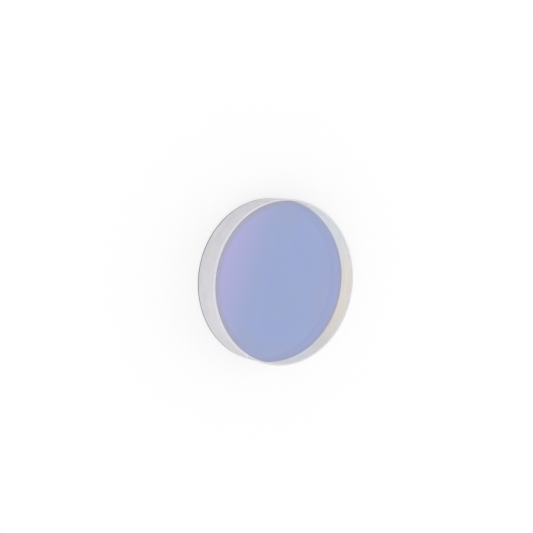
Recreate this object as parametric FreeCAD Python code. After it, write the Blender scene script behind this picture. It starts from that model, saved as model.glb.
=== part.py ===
# Laser protective lens: a thick round window of fused silica, flat on both faces.
# It is ground and polished from one blank, so it is one solid of revolution about +Z.
# The origin is the centre of the lower face, on which the window rests.

import FreeCAD, Part
import os

# Driving dimensions, in millimetres
DIAMETER = 37.0
THICKNESS = 7.0
# Leg of the 45 degree protective chamfer at each rim
CHAMFER = 0.3
# Bare polished ring between the chamfer and the coating, on the upper face and on the lower one
UPPER_RING = 0.4
LOWER_RING = 0.1


def point(radius, height):
    """A point of the half section, which lies in the XZ plane."""
    return FreeCAD.Vector(radius, 0, height)


def half_section():
    """The closed outline from axis to edge and back.

    Each face has a corner at the coating's rim, so that the revolved solid carries
    the coated aperture and the bare ring as faces of their own, level with each other.
    """
    edge_radius = DIAMETER / 2
    face_radius = edge_radius - CHAMFER
    corners = [
        point(0, 0),
        point(face_radius - LOWER_RING, 0),
        point(face_radius, 0),
        point(edge_radius, CHAMFER),
        point(edge_radius, THICKNESS - CHAMFER),
        point(face_radius, THICKNESS),
        point(face_radius - UPPER_RING, THICKNESS),
        point(0, THICKNESS),
    ]
    ends = corners[1:] + corners[:1]
    lines = [Part.LineSegment(a, b).toShape() for a, b in zip(corners, ends)]
    return Part.Face(Part.Wire(lines))


def lens():
    """The window: its half section turned once round the optical axis."""
    optical_axis = FreeCAD.Vector(0, 0, 1)
    turned = half_section().revolve(FreeCAD.Vector(0, 0, 0), optical_axis, 360)
    return Part.Solid(turned.Shells[0])


def save(name, solid):
    """Writes one node, and reports what it holds."""
    if not solid.isValid() or solid.Volume <= 0:
        raise ValueError(f"{name} is not a sound solid")
    solid.exportStep(os.path.join("parts", name + ".step"))
    print(f"{name}: {solid.Volume:.1f} mm3, {len(solid.Faces)} faces")


os.makedirs("parts", exist_ok=True)
save("lens", lens())
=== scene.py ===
"""A laser protective lens, dressed for its picture: the coated window and a pale studio."""

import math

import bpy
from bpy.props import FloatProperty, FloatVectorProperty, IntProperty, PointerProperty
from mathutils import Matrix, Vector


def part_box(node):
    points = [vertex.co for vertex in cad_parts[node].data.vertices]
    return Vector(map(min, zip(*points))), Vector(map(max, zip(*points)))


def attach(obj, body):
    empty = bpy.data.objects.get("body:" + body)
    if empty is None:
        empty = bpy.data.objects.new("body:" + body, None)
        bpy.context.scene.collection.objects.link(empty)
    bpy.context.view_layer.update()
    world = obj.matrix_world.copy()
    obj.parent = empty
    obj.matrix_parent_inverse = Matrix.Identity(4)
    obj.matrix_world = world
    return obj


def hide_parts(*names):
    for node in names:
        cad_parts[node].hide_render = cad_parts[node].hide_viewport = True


bl_info = {
    "name": "Laser Protective Lens",
    "version": (1, 0, 0),
    "blender": (4, 5, 0),
    "location": "View3D > Sidebar > Lens",
    "description": "Builds a coated protective window and the studio that shows it",
    "category": "Object",
}

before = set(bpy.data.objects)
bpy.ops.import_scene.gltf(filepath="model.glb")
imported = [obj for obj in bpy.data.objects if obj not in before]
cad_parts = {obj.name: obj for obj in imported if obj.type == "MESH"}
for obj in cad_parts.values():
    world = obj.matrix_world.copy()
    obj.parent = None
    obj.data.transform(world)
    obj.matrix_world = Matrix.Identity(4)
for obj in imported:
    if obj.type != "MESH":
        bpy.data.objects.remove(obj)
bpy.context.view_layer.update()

# Digits kept of a length in metres
DIGITS = 6


def face_rings(height):
    """Radii of the two rings of corners on the face at that height: the coating's rim, then the face's."""
    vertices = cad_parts["lens"].data.vertices
    corners = [v.co for v in vertices if round(v.co.z - height, DIGITS) == 0]
    radii = {round(corner.xy.length, DIGITS) for corner in corners}
    return sorted(radii)[-2:]


# What the frame says of the lens, in metres
LOWER, UPPER = (corner.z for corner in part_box("lens"))
EDGE_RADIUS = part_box("lens")[1].x
UPPER_COATED, FACE_RADIUS = face_rings(UPPER)
LOWER_COATED, _ = face_rings(LOWER)

# Gap that keeps the floor clear of the lower face
FLOOR_GAP = 0.00005

# A face is level when its normal is at least this upright
LEVEL = 0.999

# Scales of the patterns, from coarse to fine
CLOUDS = 130.0
MOTTLE = 400.0
SPECKS = 900.0
WHEEL_MARKS = 3000.0
GRAIN = 12000.0

# Draws a pattern out round the ground edge
ROUND_THE_EDGE = (0.03, 0.03, 1.0)

# Strength of a pattern at which its patches start to show, and at which they show in full
PATCHES = (0.4, 0.7)
SMALL_PATCHES = (0.35, 0.65)

# Where a look starts and where it is full, as a share of the radius towards the side of the lens near the
# camera. The looks keyed to it are painted: reflection and light tints on the coatings, shade on the
# ground edge
NEAR_SIDE_REACH = (0.2, 0.85)
FAR_SIDE_REACH = (-0.5, -1.0)
LINED_SIDE = (-0.6, 0.2)


# Settings

class LensSizes(bpy.types.PropertyGroup):
    """Sizes of the window."""

    radius: FloatProperty(
        name="Radius", description="Radius of the ground edge", default=EDGE_RADIUS, unit="LENGTH")
    thickness: FloatProperty(
        name="Thickness", description="From the lower face to the upper one",
        default=UPPER - LOWER, unit="LENGTH")
    chamfer: FloatProperty(
        name="Chamfer", description="Leg of the 45 degree chamfer at each rim",
        default=EDGE_RADIUS - FACE_RADIUS, unit="LENGTH")
    upper_ring: FloatProperty(
        name="Upper ring", description="Width of the uncoated ring on the upper face",
        default=FACE_RADIUS - UPPER_COATED, unit="LENGTH")
    lower_ring: FloatProperty(
        name="Lower ring", description="Width of the uncoated ring on the lower face",
        default=FACE_RADIUS - LOWER_COATED, unit="LENGTH")
    rounding: FloatProperty(
        name="Rounding", description="Width of the soft edge where two ground faces meet",
        default=0.00004, unit="LENGTH")
    # Reach of a painted shade line on each side of the lower arris
    arris: FloatProperty(
        name="Arris", description="Reach of the dark line on each side of the lower arris",
        default=0.00026, unit="LENGTH")
    marks_depth: FloatProperty(
        name="Depth of marks", description="Height of the wheel's marks and grain on the ground edge",
        default=0.0001, unit="LENGTH")
    segments: IntProperty(
        name="Segments", description="Straight runs round the circumference", default=256)


class LensFinish(bpy.types.PropertyGroup):
    """Colours and polish of the window."""

    upper_middle: FloatVectorProperty(
        name="Upper, middle", description="Light that the upper coating passes at its middle",
        default=(0.78, 0.90, 1.0), subtype="COLOR")
    # Painted reflection: the paler, lilac tint of the upper coating on the side near the camera
    upper_side: FloatVectorProperty(
        name="Upper, side", description="Light that the upper coating passes on its thinner side",
        default=(0.97, 0.93, 0.98), subtype="COLOR")
    # Painted light: a cream tint near the upper coating's rim, strongest on the side away from the camera
    upper_rim: FloatVectorProperty(
        name="Upper, rim", description="Light that the upper coating passes near its rim",
        default=(1.0, 0.88, 0.67), subtype="COLOR")
    # Painted shade: a greyer line just inside the upper coating's rim, on the side near the camera
    upper_edge: FloatVectorProperty(
        name="Upper, edge", description="Light that the upper coating passes just inside its rim",
        default=(0.95, 0.84, 0.55), subtype="COLOR")
    lower_middle: FloatVectorProperty(
        name="Lower, middle", description="Light that the lower coating passes at its middle",
        default=(0.20, 0.255, 0.575), subtype="COLOR")
    # Painted reflection: the more violet tint of the lower coating on the side near the camera
    lower_side: FloatVectorProperty(
        name="Lower, side", description="Light that the lower coating passes on its thinner side",
        default=(0.27, 0.275, 0.68), subtype="COLOR")
    # Painted reflection: a violet tint near the lower coating's rim, strongest on the side away from the
    # camera
    lower_rim: FloatVectorProperty(
        name="Lower, rim", description="Light that the lower coating passes near its rim",
        default=(0.215, 0.25, 0.64), subtype="COLOR")
    # Painted shade: a darker line just inside the lower coating's rim, away from the side near the camera
    lower_edge: FloatVectorProperty(
        name="Lower, edge", description="Light that the lower coating passes just inside its rim",
        default=(0.225, 0.24, 0.48), subtype="COLOR")
    # The side of the lens near the camera, not where the coatings thin out: the coatings' painted
    # reflection and light tints and the ground edge's painted shade are keyed to it
    near_side: FloatVectorProperty(
        name="Thin side", description="Direction in which the coatings thin out, across the faces",
        default=(-0.14, -0.99, 0.0), subtype="DIRECTION")
    # Share of the painted rim tints that shows away from the far side
    rim_share_elsewhere: FloatProperty(
        name="Evenness", description="How much of the rim's colour shows away from the thicker side",
        default=0.2, subtype="FACTOR")
    cloud: FloatProperty(
        name="Cloud", description="How far the colour moves to that of the rim in faint clouds",
        default=0.25, subtype="FACTOR")
    film: FloatProperty(
        name="Film", description="Thickness of the coating in nanometres", default=205.0)
    film_index: FloatProperty(
        name="Film index", description="Refractive index of the coating", default=1.62)
    glass_index: FloatProperty(
        name="Glass index", description="Refractive index of fused silica", default=1.46)
    polish: FloatProperty(
        name="Polish", description="Roughness of the polished faces", default=0.01)
    haze: FloatProperty(
        name="Haze", description="Roughness of the uncoated ring", default=0.25)
    ground: FloatProperty(
        name="Ground", description="Roughness of the ground edge", default=0.5)
    frost: FloatProperty(
        name="Frost", description="Share of light that the ground edge scatters", default=0.9,
        subtype="FACTOR")
    marks: FloatProperty(
        name="Marks", description="How plainly the wheel's marks and grain show on the ground edge",
        default=0.5, subtype="FACTOR")
    silica: FloatVectorProperty(
        name="Silica", description="Colour of the ground edge", default=(0.975, 0.96, 0.963),
        subtype="COLOR")
    wear: FloatProperty(
        name="Wear", description="Share of the ground edge's colour that is left where it is worn",
        default=0.85, subtype="FACTOR")
    # Painted shade: grey on the upper chamfer away from the side near the camera
    upper_chamfer_shade: FloatVectorProperty(
        name="Upper chamfer", description="Colour of the upper chamfer away from the thin side",
        default=(0.42, 0.45, 0.54), subtype="COLOR")
    # Painted shade: the lower chamfer greyer where the lens lies on the floor
    lower_chamfer_shade: FloatVectorProperty(
        name="Lower chamfer", description="Colour of the lower chamfer", default=(0.64, 0.60, 0.69),
        subtype="COLOR")
    ring: FloatVectorProperty(
        name="Ring", description="Colour of the uncoated ring on each face", default=(0.93, 0.92, 0.93),
        subtype="COLOR")
    # Painted shade: the dark line on the lower arris
    arris: FloatVectorProperty(
        name="Arris", description="Colour of the sharp line between the ground edge and the lower chamfer",
        default=(0.08, 0.09, 0.13), subtype="COLOR")


class StudioSettings(bpy.types.PropertyGroup):
    """Camera and light."""

    elevation: FloatProperty(
        name="Elevation", description="Height of the camera above the horizon",
        default=math.radians(55.5), subtype="ANGLE")
    turn: FloatProperty(
        name="Turn", description="Where the far side of the lens points in the picture, from the right",
        default=math.radians(-9.8), subtype="ANGLE")
    distance: FloatProperty(
        name="Distance", description="From the camera to the middle of the upper face",
        default=0.2024, unit="LENGTH")
    focal_length: FloatProperty(
        name="Focal length", description="Focal length of the camera in millimetres", default=61.88)
    middle_px: FloatVectorProperty(
        name="Middle", description="Pixel on which the middle of the upper face lies",
        default=(286.8, 282.8), size=2)
    picture_px: FloatProperty(
        name="Picture", description="Width and height of the picture in pixels", default=533.0)
    whiteness: FloatProperty(
        name="Whiteness", description="How much of the look of the floor by the lens is plain white",
        default=0.6, subtype="FACTOR")
    paper: FloatVectorProperty(
        name="Paper", description="Colour of the floor", default=(0.93, 0.93, 0.93), subtype="COLOR")
    paper_radius: FloatProperty(
        name="Paper radius", description="How far from the optical axis the floor starts to whiten",
        default=0.021, unit="LENGTH")
    white_radius: FloatProperty(
        name="White radius", description="How far from the optical axis the floor turns plain white",
        default=0.0525, unit="LENGTH")
    skylight: FloatProperty(
        name="Skylight", description="Light that the surroundings cast on the lens", default=0.86)


# Shader maths

class Value:
    """An output of a shader node, for use in arithmetic."""

    def __init__(self, shader, socket):
        self.shader = shader
        self.socket = socket

    def output(self, name):
        """Another output of the same node."""
        return Value(self.shader, self.socket.node.outputs[name])

    def _math(self, operation, *terms):
        return self.shader.node("ShaderNodeMath", {"operation": operation}, dict(enumerate(terms)))

    def __add__(self, other):
        return self._math("ADD", self, other)

    __radd__ = __add__

    def __mul__(self, other):
        return self._math("MULTIPLY", self, other)

    __rmul__ = __mul__

    def __sub__(self, other):
        return self._math("SUBTRACT", self, other)

    def __rsub__(self, other):
        return self._math("SUBTRACT", other, self)

    def __truediv__(self, other):
        return self._math("DIVIDE", self, other)

    def __pow__(self, other):
        return self._math("POWER", self, other)


class Shader:
    """The nodes of one material or of the world."""

    def __init__(self, owner):
        owner.use_nodes = True
        self.tree = owner.node_tree
        self.tree.nodes.clear()

    def node(self, kind, settings=None, sockets=None, output=None):
        """Adds a node, sets its settings and then its sockets, and gives back one output."""
        node = self.tree.nodes.new(kind)
        for name, value in (settings or {}).items():
            setattr(node, name, value)
        for key, value in (sockets or {}).items():
            self._feed(self._socket(node.inputs, key), value)
        return Value(self, self._socket(node.outputs, output)) if node.outputs else None

    def _socket(self, sockets, key):
        """The socket of that number or name, among those that the node's settings leave in use."""
        in_use = [s for s in sockets if s.enabled]
        if key is None:
            return in_use[0]
        if isinstance(key, int):
            return in_use[key]
        return next(s for s in in_use if s.name == key)

    def _feed(self, socket, value):
        if isinstance(value, Value):
            self.tree.links.new(value.socket, socket)
        elif hasattr(value, "__len__") and len(value) == 3 and socket.type == "RGBA":
            socket.default_value = (*value, 1.0)
        else:
            socket.default_value = value

    def colour_mix(self, factor, first, second):
        """The first colour where factor is 0, the second where it is 1."""
        return self.node("ShaderNodeMix", {"data_type": "RGBA"},
                         {"Factor": factor, "A": first, "B": second})

    def layered(self, colour, *layers):
        """The colour with others laid over it, each given as the share that it covers and a colour."""
        for share, layer in layers:
            colour = self.colour_mix(share, colour, layer)
        return colour

    def smooth(self, value, low, high):
        """0 up to low, 1 from high, and an even curve between."""
        return self.node("ShaderNodeMapRange", {"interpolation_type": "SMOOTHSTEP"},
                         {"Value": value, "From Min": low, "From Max": high})

    def place(self):
        """Where a point of the surface lies."""
        return self.node("ShaderNodeTexCoord", output="Object")

    def noise(self, scale, detail=2.0, stretch=(1, 1, 1)):
        """Soft noise about 0.5. A small stretch along an axis draws the noise out along it."""
        at = self.node("ShaderNodeVectorMath", {"operation": "MULTIPLY"}, {0: self.place(), 1: stretch})
        return self.node("ShaderNodeTexNoise", sockets={
            "Vector": at, "Scale": scale, "Detail": detail, "Roughness": 0.5})

    def radius(self):
        """Distance from the optical axis."""
        flat = self.node("ShaderNodeVectorMath", {"operation": "MULTIPLY"},
                         {0: self.place(), 1: (1, 1, 0)})
        return self.node("ShaderNodeVectorMath", {"operation": "LENGTH"}, {0: flat}, output="Value")

    def along(self, direction):
        """How far along the given direction a place lies from the optical axis."""
        return self.node("ShaderNodeVectorMath", {"operation": "DOT_PRODUCT"},
                         {0: self.place(), 1: direction}, output="Value")

    def is_backdrop(self):
        """1 where the camera, a reflection or a view through glass meets this, 0 where it lights."""
        path = self.node("ShaderNodeLightPath", output="Is Camera Ray")
        rays = path + path.output("Is Glossy Ray") + path.output("Is Transmission Ray")
        return self.node("ShaderNodeMath", {"operation": "MINIMUM"}, {0: rays, 1: 1.0})

    def surface(self, shading):
        """Puts the shading on the material's surface."""
        self.node("ShaderNodeOutputMaterial", sockets={"Surface": shading})


def glass(shader, finish, colour, roughness, **more):
    """Fused silica with the given surface."""
    return shader.node("ShaderNodeBsdfPrincipled", sockets={
        "Base Color": colour,
        "Roughness": roughness,
        "IOR": finish.glass_index,
        "Transmission Weight": 1.0,
        **more,
    })


def coating(name, finish, radius, colours, rim_reach, edge_reach, edge_side):
    """A polished face with a coating, whose colours are those of its middle, side, rim and edge.

    The middle gives way to the rim, most on the side away from the camera and in faint clouds too,
    and both give way to the side towards the camera. The rim and side tints are painted reflection
    and light, not the coating's thickness. The edge is a painted shade line that shows on one side.
    The reaches and the side of the edge are shares of the coating's radius.
    """
    middle, side, rim, edge = colours
    material = bpy.data.materials.new(name)
    shader = Shader(material)
    outwards = shader.radius() / radius
    # Painted reflection and light: how far towards the camera's side a point lies, and the share of the
    # rim tint away from it
    nearer = shader.along(finish.near_side) / radius
    farther = finish.rim_share_elsewhere + (1 - finish.rim_share_elsewhere) * shader.smooth(nearer, *FAR_SIDE_REACH)
    cloud = shader.smooth(shader.noise(CLOUDS), *PATCHES)
    # Painted light and reflection: the rim tints, strongest on the far side, and at random in faint clouds
    at_rim = 1 - (1 - shader.smooth(outwards, *rim_reach) * farther) * (1 - finish.cloud * cloud)
    on_near_side = shader.smooth(nearer, *NEAR_SIDE_REACH)
    # Painted shade: the edge line, on one side only
    at_edge = shader.smooth(outwards, *edge_reach) * shader.smooth(nearer, *edge_side)
    colour = shader.layered(middle, (at_rim, rim), (on_near_side, side), (at_edge, edge))
    film = {"Thin Film Thickness": finish.film, "Thin Film IOR": finish.film_index}
    shader.surface(glass(shader, finish, colour, finish.polish + 0.02 * cloud, **film))
    return material


def upper_coating(sizes, finish):
    """The coating of the upper face, whose painted shade edge shows on the side near the camera."""
    radius = sizes.radius - sizes.chamfer - sizes.upper_ring
    colours = finish.upper_middle, finish.upper_side, finish.upper_rim, finish.upper_edge
    return coating(
        "upper_coating", finish, radius, colours,
        rim_reach=(0.72, 0.86), edge_reach=(0.93, 0.985), edge_side=(0.0, 0.6))


def lower_coating(sizes, finish):
    """The coating of the lower face, whose painted shade edge shows away from the side near the camera."""
    radius = sizes.radius - sizes.chamfer - sizes.lower_ring
    colours = finish.lower_middle, finish.lower_side, finish.lower_rim, finish.lower_edge
    return coating(
        "lower_coating", finish, radius, colours,
        rim_reach=(0.7, 0.98), edge_reach=(0.955, 0.985), edge_side=(0.4, 0.0))


def frosted(shader, finish, tint, colour, roughness, frost, opaque=0.0, **more):
    """Rough glass that also scatters light, onwards with the tint and back with the colour.

    The frost is the share of light that is scattered. Where the glass is opaque, all of it goes back.
    """
    onwards = shader.node("ShaderNodeBsdfTranslucent", sockets={"Color": tint, **more})
    back = shader.node("ShaderNodeBsdfPrincipled", sockets={
        "Base Color": colour, "Specular IOR Level": 0.0, **more})
    scatter = shader.node("ShaderNodeMixShader", sockets={0: 0.5 + 0.5 * opaque, 1: onwards, 2: back})
    return shader.node("ShaderNodeMixShader", sockets={
        0: frost + (1 - frost) * opaque,
        1: glass(shader, finish, colour, roughness, **more),
        2: scatter})


def bare_silica(sizes, finish):
    """Silica with no coating, a little hazy, on the ring round each coating."""
    material = bpy.data.materials.new("bare_silica")
    shader = Shader(material)
    haze = finish.haze * (0.7 + 0.6 * shader.noise(SPECKS))
    shader.surface(frosted(shader, finish, finish.ring, finish.ring, haze, finish.frost))
    return material


def ground_silica(sizes, finish):
    """The finely ground edge and the chamfers.

    The wheel's marks run round the edge, over a fine grain and a faint mottle. A painted shade line
    lies on the lower arris, where the edge meets the chamfer, and fades out away from the side of the
    lens near the camera. The upper chamfer goes from white to a painted grey shade the same way, and
    the lower chamfer is painted a shaded grey where the lens lies on the floor.
    """
    material = bpy.data.materials.new("ground_silica")
    shader = Shader(material)
    height = shader.node("ShaderNodeSeparateXYZ", sockets={"Vector": shader.place()}, output="Z")
    lower, upper = sizes.chamfer, sizes.thickness - sizes.chamfer
    seam = 0.1 * sizes.chamfer
    on_lower = shader.smooth(height, lower, lower - seam)
    on_upper = shader.smooth(height, upper, upper + seam)
    # Side near the camera: the arris's painted shade line shows there, the upper chamfer's painted grey
    # shade away from it
    on_near_side = shader.smooth(shader.along(finish.near_side) / sizes.radius, *LINED_SIDE)
    up = height - lower
    out = shader.radius() - sizes.radius
    # Painted shade: a dark line along the lower arris, on the side near the camera
    arris_shade = on_near_side * (1 - shader.smooth((up * up + out * out) ** 0.5, 0.0, sizes.arris))

    marks = shader.noise(WHEEL_MARKS, detail=4.0, stretch=ROUND_THE_EDGE)
    grain = shader.noise(GRAIN)
    mottle = shader.smooth(shader.noise(MOTTLE, detail=3.0), *SMALL_PATCHES)
    worn = 0.5 * mottle + 0.5 * shader.smooth(marks, *PATCHES)
    # Painted shade: the upper chamfer grey away from the camera's side, white frosted on it
    upper_chamfer_shade = shader.colour_mix(on_near_side, finish.upper_chamfer_shade, (1, 1, 1))
    # The edge's own colour with random wear, then the painted shade of the chamfers and of the arris line
    colour = shader.layered(
        finish.silica, (worn, finish.wear * finish.silica), (on_upper, upper_chamfer_shade),
        (on_lower, finish.lower_chamfer_shade), (arris_shade, finish.arris))
    roughness = finish.ground - 0.15 * (marks - 0.5)
    frost = finish.frost - 0.2 * (marks - 0.3)
    # The painted shade of the arris line and of the far upper chamfer is opaque
    opaque = arris_shade + on_upper * (1 - on_near_side)
    bump = shader.node("ShaderNodeBump", sockets={
        "Strength": finish.marks, "Distance": sizes.marks_depth, "Height": 0.7 * marks + 0.3 * grain})
    shader.surface(frosted(
        shader, finish, finish.silica, colour, roughness, frost, opaque, Normal=bump))
    return material


# Modelling

def select_faces(mesh, wanted):
    """Selects just the faces that the test wants. The mesh is in object mode."""
    for part in (mesh.vertices, mesh.edges, mesh.polygons):
        part.foreach_set("select", [False] * len(part))
    for face in mesh.polygons:
        face.select = wanted(face)


def paint(window, name):
    """Gives the selected faces the named material."""
    for face in window.data.polygons:
        if face.select:
            face.material_index = window.data.materials.find(name)


def is_upper(face):
    return face.normal.z > LEVEL


def is_lower(face):
    return face.normal.z < -LEVEL


def is_cap(face):
    return is_upper(face) or is_lower(face)


class LENS_OT_window(bpy.types.Operator):
    """Models the window, from a plain disc to its chamfers and coated faces"""

    bl_idname = "lens.window"
    bl_label = "Window"

    def execute(self, context):
        sizes = context.scene.lens_sizes
        finish = context.scene.lens_finish
        bpy.ops.object.select_all(action="DESELECT")
        bpy.ops.mesh.primitive_cylinder_add(
            vertices=sizes.segments, radius=sizes.radius, depth=sizes.thickness,
            end_fill_type="NGON", location=(0, 0, sizes.thickness / 2))
        window = context.object
        window.name = window.data.name = "window"
        bpy.ops.object.transform_apply(location=True, rotation=True, scale=True)
        for make in (ground_silica, bare_silica, upper_coating, lower_coating):
            window.data.materials.append(make(sizes, finish))

        select_faces(window.data, is_cap)
        bpy.ops.object.mode_set(mode="EDIT")
        bpy.ops.mesh.select_mode(type="FACE")
        bpy.ops.mesh.region_to_loop()
        bpy.ops.mesh.bevel(offset=sizes.chamfer, segments=1, affect="EDGES")
        bpy.ops.object.mode_set(mode="OBJECT")

        self.coat(window, is_upper, sizes.upper_ring, "upper_coating")
        self.coat(window, is_lower, sizes.lower_ring, "lower_coating")

        soft = window.modifiers.new("soft_edges", "BEVEL")
        soft.width = sizes.rounding
        soft.segments = 3
        soft.limit_method = "ANGLE"
        soft.harden_normals = True
        bpy.ops.object.shade_smooth()
        bpy.ops.object.modifier_apply(modifier=soft.name)

        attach(window, "root")
        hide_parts("lens")
        return {"FINISHED"}

    def coat(self, window, is_face, ring, name):
        """Coats one face, but for a bare ring round it."""
        select_faces(window.data, is_face)
        paint(window, "bare_silica")
        bpy.ops.object.mode_set(mode="EDIT")
        bpy.ops.mesh.select_mode(type="FACE")
        bpy.ops.mesh.inset(thickness=ring, use_boundary=True)
        bpy.ops.object.mode_set(mode="OBJECT")
        paint(window, name)


class LENS_OT_studio(bpy.types.Operator):
    """Sets the floor, the light and the camera"""

    bl_idname = "lens.studio"
    bl_label = "Studio"

    def execute(self, context):
        settings = context.scene.lens_studio
        self.floor(settings)
        self.light(context.scene, settings)
        self.camera(context.scene, settings)
        context.scene.view_settings.view_transform = "Standard"
        return {"FINISHED"}

    def floor(self, settings):
        """Lays a sheet of pale paper, which turns plain white away from the lens."""
        bpy.ops.object.select_all(action="DESELECT")
        bpy.ops.mesh.primitive_plane_add(size=3.0, location=(0, 0, LOWER - FLOOR_GAP))
        floor = bpy.context.object
        floor.name = "floor"
        material = bpy.data.materials.new("floor")
        shader = Shader(material)
        away = shader.smooth(shader.radius(), settings.paper_radius, settings.white_radius)
        share = settings.whiteness + (1 - settings.whiteness) * away
        paper = shader.node("ShaderNodeBsdfDiffuse", sockets={"Color": settings.paper})
        white = shader.node("ShaderNodeEmission", sockets={"Color": (1, 1, 1), "Strength": 1.0})
        shader.surface(shader.node("ShaderNodeMixShader", sockets={
            0: share * shader.is_backdrop(), 1: paper, 2: white}))
        floor.data.materials.append(material)

    def light(self, scene, settings):
        """Makes surroundings that look plain white and cast an even light, and hangs two softboxes."""
        scene.world = bpy.data.worlds.new("studio")
        shader = Shader(scene.world)
        seen = shader.is_backdrop()
        background = shader.node("ShaderNodeBackground", sockets={
            "Color": (1, 1, 1), "Strength": seen + settings.skylight * (1 - seen)})
        shader.node("ShaderNodeOutputWorld", sockets={"Surface": background})
        self.softbox("key", size=0.6, energy=0.9, place=(0.3, -0.35, 0.4))
        self.softbox("back", size=0.45, energy=0.5, place=(-0.1, 0.42, 0.2))

    def softbox(self, name, size, energy, place):
        """Hangs a lamp that faces the lens, and that the polished faces don't mirror."""
        bpy.ops.object.light_add(type="AREA", location=place)
        lamp = bpy.context.object
        lamp.name = name
        lamp.data.size = size
        lamp.data.energy = energy
        lamp.visible_glossy = False
        lamp.rotation_euler = Vector(place).to_track_quat("Z", "Y").to_euler()

    def camera(self, scene, settings):
        """Aims the camera at the middle of the upper face, from the side of the lens that is near."""
        target = Vector((0, 0, UPPER))
        right = Vector((1, 0, 0))
        back = Vector((0, -math.cos(settings.elevation), math.sin(settings.elevation)))
        up = back.cross(right)
        turn = settings.turn
        across = right * math.sin(turn) + up * math.cos(turn)
        upright = up * math.sin(turn) - right * math.cos(turn)
        place = target + back * settings.distance
        data = bpy.data.cameras.new("camera")
        data.lens = settings.focal_length
        data.clip_start = 0.01
        half = settings.picture_px / 2
        data.shift_x = (half - settings.middle_px[0]) / settings.picture_px
        data.shift_y = (settings.middle_px[1] - half) / settings.picture_px
        camera = bpy.data.objects.new("camera", data)
        scene.collection.objects.link(camera)
        axes = Matrix((across, upright, back)).transposed().to_4x4()
        camera.matrix_world = Matrix.Translation(place) @ axes
        scene.camera = camera


class LENS_PT_panel(bpy.types.Panel):
    """Lists the steps in the sidebar"""

    bl_idname = "LENS_PT_panel"
    bl_label = "Laser protective lens"
    bl_space_type = "VIEW_3D"
    bl_region_type = "UI"
    bl_category = "Lens"

    def draw(self, context):
        for operator in OPERATORS:
            self.layout.operator(operator.bl_idname)


SETTINGS = {"lens_sizes": LensSizes, "lens_finish": LensFinish, "lens_studio": StudioSettings}
OPERATORS = (LENS_OT_window, LENS_OT_studio)
CLASSES = (*SETTINGS.values(), *OPERATORS, LENS_PT_panel)


def register():
    for kind in CLASSES:
        bpy.utils.register_class(kind)
    for name, group in SETTINGS.items():
        setattr(bpy.types.Scene, name, PointerProperty(type=group))


def unregister():
    for name in SETTINGS:
        delattr(bpy.types.Scene, name)
    for kind in reversed(CLASSES):
        bpy.utils.unregister_class(kind)


def main():
    register()
    bpy.ops.lens.window()
    bpy.ops.lens.studio()


if __name__ == "__main__":
    main()
